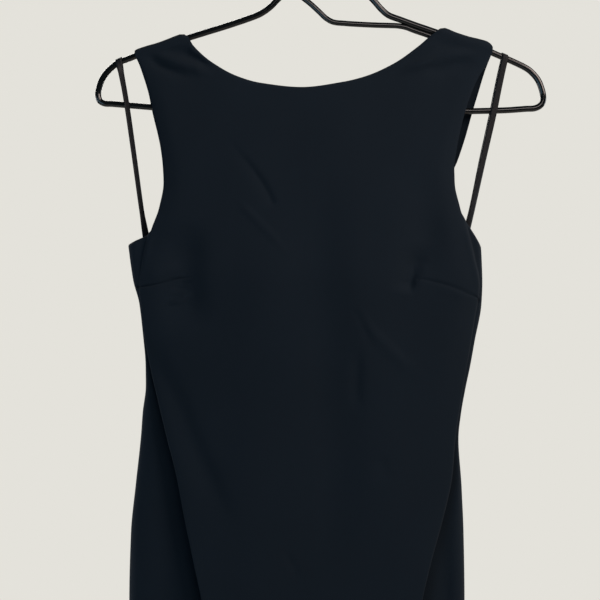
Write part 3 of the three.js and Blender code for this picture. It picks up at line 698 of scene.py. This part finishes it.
frontPanel = {
    "facing": -1,            # along Y
    "lipWidth": 1.6,         # over which a free edge turns in
    "flatSize": (0.72, 1.47),    # m, of the piece laid flat
    # how its rows of points are spread: from each side seam to the middle, over the side strip, the
    # strap and the chest, and then down the chest and down the rest
    "stripShares": shares((0, 0.1, 3), (0.1, 0.75, 9), (0.75, 1, 6)),
    "strapShares": shares((0, 0.12, 4), (0.12, 1, 14)),
    "chestShares": shares((0, 0.12, 6), (0.12, 1, 33)),
    "chestRows": shares((0, 0.03, 5), (0.03, 1, 56)),
    "bodyRows": shares((0, 0.03, 12), (0.03, 0.07, 66), (0.07, 0.295, 86), (0.295, 1, 64)),
    "folds": [               # x of the armhole edges and the folds, and the drop from fold to valley
        ("z", "left", "right", "leftDrop", "rightDrop"),
        (-187, -188.6, 170, 0, 0),
        (-200, -182.3, 164.6, 0, 0),
        (-213, -177.3, 155.8, 0, 0),
        (-236, -170.6, 146, 0, 0),
        (-262, -164.6, 138.3, 0, 0),
        (-289, -159.6, 132.8, 0, 0),
        (-303, -158, 131, 0, 0),
        (-319, -157.2, 131.2, 0, 1.5),
        (-343, -161, 136, 2, 3),
        (-367, -169, 142.2, 3, 3.5),
        (-395, -176, 149, 2.5, 3),
        (-420, -179.6, 153.8, 1.5, 2),
        (-455, -177, 149, 2, 1.5),
        (-490, -171.5, 143.5, 4.5, 1.5),
        (-533, -161.6, 136, 11, 1.5),
        (-573, -151.7, 130, 16, 3.5),
        (-607, -142.8, 127, 18, 9),
        (-651, -134.2, 117, 20, 14),
        (-689, -125.7, 106, 21, 17),
        (-735, -116, 95, 23, 20),
        (-900, -98, 72, 19, 19),
        (-1160, -90, 62, 14, 15),
        (-1400, -112, 80, 28, 30),
        (-1630, -148, 114, 50, 54),
    ],
    # how far out the folds and the middle lie, how deep a flute is hollowed between them, how far the
    # valley lies out past the fold, and how far in from the fold the next row lies
    "depths": [
        ("z", "fold", "middle", "flute", "lip", "crown"),
        (-195, 5, 6, 0, 4, 16),
        (-223, 6.5, 10, 0, 4, 16),
        (-260, 8, 14, 0, 4, 16),
        (-320, 11, 20, 0, 4, 18),
        (-367, 15, 24, 0, 3, 20),
        (-420, 17, 29, 0, 1.5, 22),
        (-490, 18, 29, 0, 0.5, 24),
        (-535, 19, 28, 0, -1.5, 26),
        (-640, 25, 31, 0, -2, 28),
        (-735, 33, 35, 0, -1.5, 26),
        (-900, 38, 38, 0, 5, 20),
        (-1160, 42, 41, 5, 14, 20),
        (-1400, 68, 64, 26, 30, 24),
        (-1630, 98, 92, 52, 50, 28),
    ],
    "neck": [
        ("x", "z"),
        (-133.4, -172.7),
        (-128.4, -181.4),
        (-107.5, -199.9),
        (-85, -212.4),
        (-62, -219.3),
        (-20, -223.8),
        (20, -218.6),
        (43, -212.8),
        (70, -200.6),
        (96, -182.3),
        (107.6, -172.2),
        (113.8, -167.3),
    ],
    "waves": [               # length, slant in degrees, phase and rise
        (118, -14, 2.1, 0.25),
        (83, 10, 4.0, 0.2),
        (61, -25, 1.2, 0.15),
    ],
    "creases": [
        # straps: drag lines from the ends of the shoulder seams
        {"path": [(-179, -187), (-163, -199), (-146, -207), (-124, -213)], "rise": -2.9, "widths": (4, 5)},
        {"path": [(-170, -189), (-151, -197), (-132, -203), (-106, -209)], "rise": 3.0, "widths": (5, 4)},
        {"path": [(-146, -182), (-134, -189), (-122, -196), (-106, -204)], "rise": -3.0, "widths": (3, 6)},
        {"path": [(-161, -189), (-149, -186.5), (-137, -184)], "rise": -3, "widths": (4, 5)},
        {"path": [(72, -208), (90, -203), (104, -198), (122, -193), (140, -189), (158, -191)],
         "rise": 3.6, "widths": (4, 5)},
        {"path": [(112, -182), (126, -181), (146, -182)], "rise": -0.8, "widths": (3, 4)},
        {"path": [(100, -212), (126, -204), (158, -196)], "rise": -2, "widths": (6, 7)},
        # left chest: a sharp slanting crease, a fainter ridge under it and a soft arc above
        {"path": [(-98, -270), (-84, -286), (-70, -303), (-57, -321), (-46, -343)],
         "rise": -1.8, "widths": (1.8, 6), "power": 1.5, "fades": (0.7, 0.06)},
        {"path": [(-84, -336), (-69, -351), (-55, -365), (-43, -378), (-28, -396)], "rise": 1.0,
         "widths": (2, 4), "fades": (0.2, 0.5)},
        {"path": [(-150, -292), (-128, -278), (-106, -262), (-86, -252)], "rise": 0.5, "widths": (6, 8)},
        # long soft waves down the front
        {"path": [(-62, -290), (-64, -420), (-68, -560), (-66, -760)], "rise": 2.6, "widths": (34, 30)},
        {"path": [(-8, -250), (-6, -400), (2, -540), (6, -760)], "rise": -2.2, "widths": (26, 26)},
        {"path": [(32, -260), (38, -400), (46, -520), (46, -760)], "rise": 2.4, "widths": (40, 24)},
        {"path": [(108, -300), (104, -370), (98, -430)], "rise": -2, "widths": (16, 18)},
        # left side: the ridge from the armhole's foot, the dart, and a hollow beside its point
        {"path": [(-162, -352), (-168, -364), (-172, -378), (-175, -392), (-178, -410)],
         "rise": 1.3, "widths": (4, 3), "fades": (0.2, 0.4)},
        {"path": [(-184, -422.4), (-169, -420.7), (-153, -417), (-143.5, -414.2), (-133, -412.6)],
         "rise": -1.9, "widths": (1.1, 1.1), "fades": (0.01, 0.12)},
        {"path": [(-178, -413), (-164, -410), (-150, -405), (-136, -403)], "rise": 1.3, "widths": (6, 5)},
        {"path": [(-132, -352), (-133, -380), (-134, -405), (-132, -432), (-123, -474)],
         "rise": -7, "widths": (17, 30)},
        {"path": [(-133, -414), (-138, -420), (-144, -427)], "rise": -1.8, "widths": (2, 3)},
        {"path": [(-132, -424), (-137, -432), (-145, -437), (-151, -434)], "rise": 2.0, "widths": (3, 3)},
        # right side: its ridge, the dart and a short crease that runs down to the dart's point
        {"path": [(140, -358), (143, -370), (147, -388), (151, -404), (154, -420), (156, -440)],
         "rise": 1.2, "widths": (3, 4), "fades": (0.2, 0.4)},
        {"path": [(95.5, -413.7), (110, -417), (127.5, -421.8), (143, -428.4), (157, -434.5)],
         "rise": -1.3, "widths": (1.1, 1.1), "fades": (0.05, 0.1)},
        {"path": [(112, -423), (128, -428), (144, -435)], "rise": 0.4, "widths": (4, 4)},
        {"path": [(112, -340), (106, -375), (101, -395), (96, -425)], "rise": -1.2, "widths": (12, 22)},
        {"path": [(100.5, -380), (95.7, -394), (90.5, -408), (87, -420), (85, -431)],
         "rise": -4.6, "widths": (3.4, 15), "fades": (0.5, 0.25)},
        {"path": [(74, -300), (72, -360), (66, -420)], "rise": 1.4, "widths": (20, 22)},
        # lower right: a slanting fold and a short upright one
        {"path": [(28, -436), (44, -460), (62, -478), (84, -500), (100, -514)],
         "rise": 1.2, "widths": (4, 7)},
        {"path": [(28, -440), (36, -452), (44, -468), (50, -480)], "rise": -1.0, "widths": (3, 4)},
        {"path": [(36, -478), (34.5, -500), (34, -520), (34, -548)], "rise": -1.6, "widths": (5, 7)},
        # lower left: the broad hollow that runs in from the side fold
        {"path": [(-180, -468), (-166, -491), (-143, -532), (-127, -573), (-105, -621), (-82, -676)],
         "rise": -2.8, "widths": (9, 14), "fades": (0.2, 0.35)},
        {"path": [(54, -584), (60, -600), (64, -616)], "rise": -0.8, "widths": (7, 9)},
        {"path": [(-40, -676), (-30, -692), (-20, -710)], "rise": -0.7, "widths": (4, 5)},
        # second lines inside the two side valleys
        {"path": [(-133, -668), (-131, -700), (-127, -740), (-116, -800)], "rise": 4, "widths": (6, 7)},
        {"path": [(-150, -700), (-152, -740), (-150, -790), (-142, -880)], "rise": -3, "widths": (6, 6)},
        {"path": [(124, -650), (123, -690), (121, -740), (108, -880)], "rise": -5, "widths": (9, 7)},
    ],
}

backPanel = {
    "facing": 1,
    "lipWidth": 1.8,
    "flatSize": (0.7, 1.47),
    "stripShares": shares((0, 0.1, 3), (0.1, 0.75, 7), (0.75, 1, 4)),
    "strapShares": shares((0, 0.12, 3), (0.12, 1, 10)),
    "chestShares": shares((0, 0.12, 5), (0.12, 1, 20)),
    "chestRows": shares((0, 0.03, 4), (0.03, 1, 44)),
    "bodyRows": shares((0, 0.02, 6), (0.02, 0.295, 80), (0.295, 1, 70)),
    "folds": [
        ("z", "left", "right", "leftDrop", "rightDrop"),
        (-187, -187.6, 170.5, 0, 0),
        (-205, -181, 163.7, 0, 0),
        (-228, -174, 156.8, 0, 0),
        (-246, -170.4, 151.4, 0, 0),
        (-271, -164.4, 144.4, 0, 0),
        (-294, -160, 136.8, 0, 0),
        (-312, -158, 129.5, 0, 0),
        (-329, -157.5, 127, 0, 0),
        (-347, -161, 132, 1, 1),
        (-367, -171, 141, 1.5, 1.5),
        (-440, -172, 148, 2, 2),
        (-571, -166, 120, 2, 2),
        (-735, -136, 92, 9, 8),
        (-900, -112, 70, 13, 11),
        (-1160, -96, 58, 10, 10),
        (-1400, -118, 78, 26, 24),
        (-1630, -154, 116, 46, 42),
    ],
    "depths": [
        ("z", "fold", "middle", "flute", "lip", "crown"),
        (-195, 5, 5.5, 0, 5, 16),
        (-235, 7, 8, 0, 5, 16),
        (-320, 9, 13, 0, 5, 16),
        (-385, 10, 16, 0, 5, 16),
        (-535, 13, 18, 0, 5, 16),
        (-735, 22, 26, 0, 6, 16),
        (-900, 29, 32, 0, 9, 18),
        (-1160, 33, 34, 4, 16, 20),
        (-1400, 56, 54, 24, 32, 24),
        (-1630, 84, 80, 46, 52, 28),
    ],
    "neck": [
        ("x", "z"),
        (-133.4, -172.7),
        (-127, -205),
        (-113, -260),
        (-88, -312),
        (-50, -343),
        (-10, -352),
        (30, -343),
        (68, -311),
        (93, -258),
        (107, -203),
        (113.8, -167.3),
    ],
    "waves": [(170, -10, 1.4, 0.9), (105, 16, 0.3, 0.6), (77, -6, 3.0, 0.35)],
    "creases": [
        {"path": [(-176, -190), (-152, -204), (-136, -226)], "rise": 1.3, "widths": (6, 6)},
        {"path": [(160, -190), (136, -204), (118, -224)], "rise": 1.3, "widths": (6, 6)},
        {"path": [(-60, -350), (-30, -372), (10, -380), (44, -366)], "rise": 1.2, "widths": (7, 9)},
        {"path": [(-160, -430), (-110, -452), (-60, -462)], "rise": -1.4, "widths": (7, 9)},
        {"path": [(140, -440), (96, -470), (50, -482)], "rise": -1.2, "widths": (7, 9)},
        {"path": [(-20, -470), (-40, -540), (-30, -620)], "rise": -1.6, "widths": (10, 12)},
        {"path": [(70, -520), (56, -580), (60, -660)], "rise": 1.5, "widths": (10, 12)},
        {"path": [(-150, -520), (-120, -590), (-96, -670)], "rise": -1.8, "widths": (9, 12)},
    ],
}


# Crepe: a matt polyester and elastane cloth of overtwisted yarn. Its fine pebbled face takes the
# gloss off, so that only a soft grey bloom follows the folds.
def crepeCloth():
    material, shader = newMaterial("stretch_crepe")
    place = addNode(material, "ShaderNodeTexCoord").outputs["Object"]
    patches = addNode(material, "ShaderNodeTexNoise", {"Scale": 9.0, "Detail": 3.0},
                      {"Vector": place})    # faint patches of 110 mm
    tone = addNode(material, "ShaderNodeMix",
                   {"A": linearColour(form["dark"]), "B": linearColour(form["light"])},
                   {"Factor": patches.outputs["Fac"]}, data_type="RGBA")
    pebbles = addNode(material, "ShaderNodeTexNoise", {"Scale": 900.0, "Detail": 3.0, "Roughness": 0.6},
                      {"Vector": place})    # yarn bumps of about 1.1 mm, coarser than real so that they show
    bump = addNode(material, "ShaderNodeBump", {"Strength": 0.35, "Distance": 0.25 * mm},
                   {"Height": pebbles.outputs["Fac"]})
    links = material.node_tree.links
    links.new(tone.outputs["Result"], shader.inputs["Base Color"])
    links.new(bump.outputs["Normal"], shader.inputs["Normal"])
    shader.inputs["Roughness"].default_value = 0.85
    shader.inputs["Specular IOR Level"].default_value = 0.06
    shader.inputs["Sheen Weight"].default_value = 0.025
    shader.inputs["Sheen Roughness"].default_value = 0.5
    return material


crepe = crepeCloth()
for name, panel in (("front_panel", frontPanel), ("back_panel", backPanel)):
    points, kept = panelPoints(panel)
    sheet = clothSheet(points, kept, panel["facing"])
    area = sum(face.calc_area() for face in sheet.faces)
    piece = finishPiece(sheet, name, crepe, "crepe", name)
    giveThickness(piece, form["thickness"])
    hemWidth = np.linalg.norm(np.diff(points[-1], axis=0), axis=1).sum()
    print(f"{name}: {area:.3f} m2, hem {hemWidth:.0f} mm, {2 * len(piece.data.polygons)} quads")


hanger = {
    "colour": "#060809",
    "collarX": 4,
    "collarTop": -76,
    "collarHeight": 12,
    "collarRadius": 6.5,
    "collarRounding": 1.6,
    "stem": [(4, -75.7), (4, -66), (9, -54)],    # from the collar up to the hook's bow
    "hookRadius": 20,        # inside the bow
    "hookWire": 2.7,
    "bow": (-48, 204, 12),   # degrees round the bow: its start, its tip and the step between points
    "wires": {               # radius and route of (x, z)
        "hanger_arm_left": (3.1, [
            (0.8, -88.6), (0.3, -92.6), (-31, -122), (-45.3, -135.4), (-49.8, -140.2), (-54, -143.8),
            (-59.8, -147.8), (-65.4, -150.6), (-90.7, -159.5), (-120, -168.6), (-138, -174.3),
            (-181, -188.9)]),
        "hanger_arm_right": (3.1, [
            (7.2, -88.6), (7.7, -92.6), (36, -119.5), (51.3, -135.2), (60.3, -145.2), (66.5, -150.2),
            (79, -155), (92, -159.8), (106, -164.6), (118, -168.8), (165, -185.4)]),
        "hanger_brace": (2.7, [
            (-27.4, -126.6), (-12, -138.4), (-2.7, -146.9), (4, -153.2), (11, -157), (22.7, -158.4),
            (53, -160.1), (67, -160.5), (76, -160.9), (84, -162.4), (92, -165.4), (106, -170.2),
            (118, -174.4), (158, -188.6)]),
        "hanger_loop_left": (3.05, [
            (-181.45, -189.05), (-192, -193.2), (-205, -198.5), (-210.3, -202.6), (-215, -207.2),
            (-220.2, -215), (-222.9, -223), (-223.9, -229.5), (-222.2, -235.6), (-217.5, -238.4),
            (-210, -238.9), (-190, -240.6), (-152, -243.8)]),
        "hanger_loop_right": (3.05, [
            (165.6, -185.6), (175, -189.8), (190, -196.2), (203.8, -203), (209.2, -207),
            (215.9, -215), (219.3, -223), (221, -230), (220.9, -236), (218.4, -240.4),
            (213, -243.2), (203, -243.9), (185, -245.2), (150, -246.2)]),
        "hanger_bar": (3.05, [(-151.5, -243.8), (-50, -244.6), (50, -245.4), (149.6, -246.2)]),
    },
}


# Steel wire dipped in soft black PVC: a smooth glossy coat with slow lumps.
def dippedWire():
    material, shader = newMaterial("pvc_dipped_steel_wire")
    place = addNode(material, "ShaderNodeTexCoord").outputs["Object"]
    lumps = addNode(material, "ShaderNodeTexNoise", {"Scale": 70.0, "Detail": 2.0},
                    {"Vector": place})    # lumps of 14 mm
    bump = addNode(material, "ShaderNodeBump", {"Strength": 0.25, "Distance": 0.4 * mm},
                   {"Height": lumps.outputs["Fac"]})
    dust = addNode(material, "ShaderNodeTexNoise", {"Scale": 60.0, "Detail": 4.0},
                   {"Vector": place})    # duller patches of 17 mm
    rough = addNode(material, "ShaderNodeMapRange", {"To Min": 0.09, "To Max": 0.17},
                    {"Value": dust.outputs["Fac"]})
    links = material.node_tree.links
    links.new(rough.outputs["Result"], shader.inputs["Roughness"])
    links.new(bump.outputs["Normal"], shader.inputs["Normal"])
    shader.inputs["Base Color"].default_value = linearColour(hanger["colour"])
    shader.inputs["Specular IOR Level"].default_value = 0.4
    return material


# A wire bent along a route of (x, z), standing for its CAD nodes.
def wirePiece(name, radius, route, material, *nodes):
    curve = bpy.data.curves.new(name, "CURVE")
    curve.dimensions = "3D"
    curve.bevel_depth = radius * mm
    curve.bevel_resolution = 8
    curve.use_fill_caps = True
    path = smoothRoute(route, steps=16)
    spline = curve.splines.new("POLY")
    spline.points.add(len(path) - 1)
    spline.points.foreach_set("co", [c for x, z in path * mm for c in (x, 0, z, 1)])
    spline.use_smooth = True
    finishPiece(curve, name, material, "coated_wire", *nodes)


coatedWire = dippedWire()
for name, (radius, route) in hanger["wires"].items():
    nodes = ["hanger_brace", "hanger_brace_end"] if name == "hanger_brace" else [name]
    wirePiece(name, radius, route, coatedWire, *nodes)

hookLine = hanger["hookRadius"] + hanger["hookWire"]
start, tip, step = hanger["bow"]
turns = np.radians(np.arange(start, tip + 1, step))
bow = [(hookLine * math.cos(turn), hookLine * math.sin(turn) - hanger["hookRadius"]) for turn in turns]
wirePiece("hanger_hook", hanger["hookWire"], hanger["stem"] + bow, coatedWire, "hanger_hook")

collar = bmesh.new()
bmesh.ops.create_cone(collar, cap_ends=True, segments=48, radius1=hanger["collarRadius"] * mm,
                      radius2=hanger["collarRadius"] * mm, depth=hanger["collarHeight"] * mm)
rims = [edge for edge in collar.edges if edge.calc_face_angle() > 1]
bmesh.ops.bevel(collar, geom=rims, offset=hanger["collarRounding"] * mm, segments=4, profile=0.5,
                affect="EDGES", material=-1)
collarMiddle = hanger["collarTop"] - hanger["collarHeight"] / 2
bmesh.ops.translate(collar, verts=collar.verts, vec=Vector((hanger["collarX"], 0, collarMiddle)) * mm)
finishPiece(collar, "hanger_collar", coatedWire, "coated_wire", "hanger_collar")
print("hanger: wires, hook and collar")
